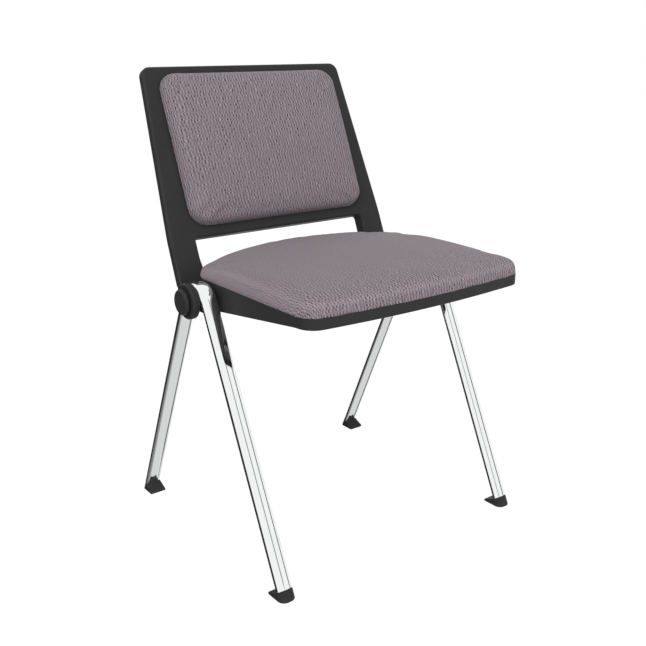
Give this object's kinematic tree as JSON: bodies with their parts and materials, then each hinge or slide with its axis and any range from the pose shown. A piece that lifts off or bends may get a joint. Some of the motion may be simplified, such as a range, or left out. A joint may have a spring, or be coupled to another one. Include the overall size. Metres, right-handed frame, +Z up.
{
  "type": "reception chair",
  "caption": "Armless reception chair with bent chrome leg frames, a cloth seat cushion in a moulded pan, and a cloth back pad on a leaning moulded frame.",
  "frame": {"origin": "on the floor, at the middle of the chair's box seen from above", "axes": "+Z up, the sitter faces -Y, +X is the sitter's left"},
  "size_m": [0.574, 0.5317, 0.8],
  "materials": {
    "chrome_tube": "bright chrome plate",
    "black_plastic": "satin, finely textured moulding",
    "foot_plastic": "satin",
    "cloth": "mauve-grey upholstery weave with short upright dashes",
    "foam": "upholstery foam",
    "black_steel": "black powder coat",
    "bare_steel": "zinc plate",
    "plywood": "plain plywood",
    "carrier_plastic": "plain"
  },
  "bodies": {
    "root": {"side_frame_right": "chrome_tube", "side_frame_left": "chrome_tube", "gusset_right": "black_steel", "gusset_left": "black_steel", "beam_plug_right": "bare_steel", "beam_plug_left": "bare_steel", "hub_cover_right": "black_plastic", "hub_cover_left": "black_plastic", "hub_bolt_right": "bare_steel", "hub_bolt_left": "bare_steel", "hub_cap_right": "black_plastic", "hub_cap_left": "black_plastic", "glide_front_right": "foot_plastic", "glide_front_left": "foot_plastic", "glide_rear_right": "foot_plastic", "glide_rear_left": "foot_plastic", "seat_arm_right": "black_steel", "seat_arm_left": "black_steel", "back_bracket_right": "black_steel", "back_bracket_left": "black_steel", "back_spigot_right": "black_steel", "back_spigot_left": "black_steel", "cross_beam": "black_steel", "front_bar": "black_steel", "seat_pan": "black_plastic", "seat_board": "plywood", "seat_inserts": "bare_steel", "seat_screws": "bare_steel", "seat_foam": "foam", "seat_cover": "cloth", "back_frame": "black_plastic", "back_panel": "carrier_plastic", "back_foam": "foam", "back_cover": "cloth", "back_pad_screws": "bare_steel", "back_screws": "bare_steel"}
  },
  "joints": []
}
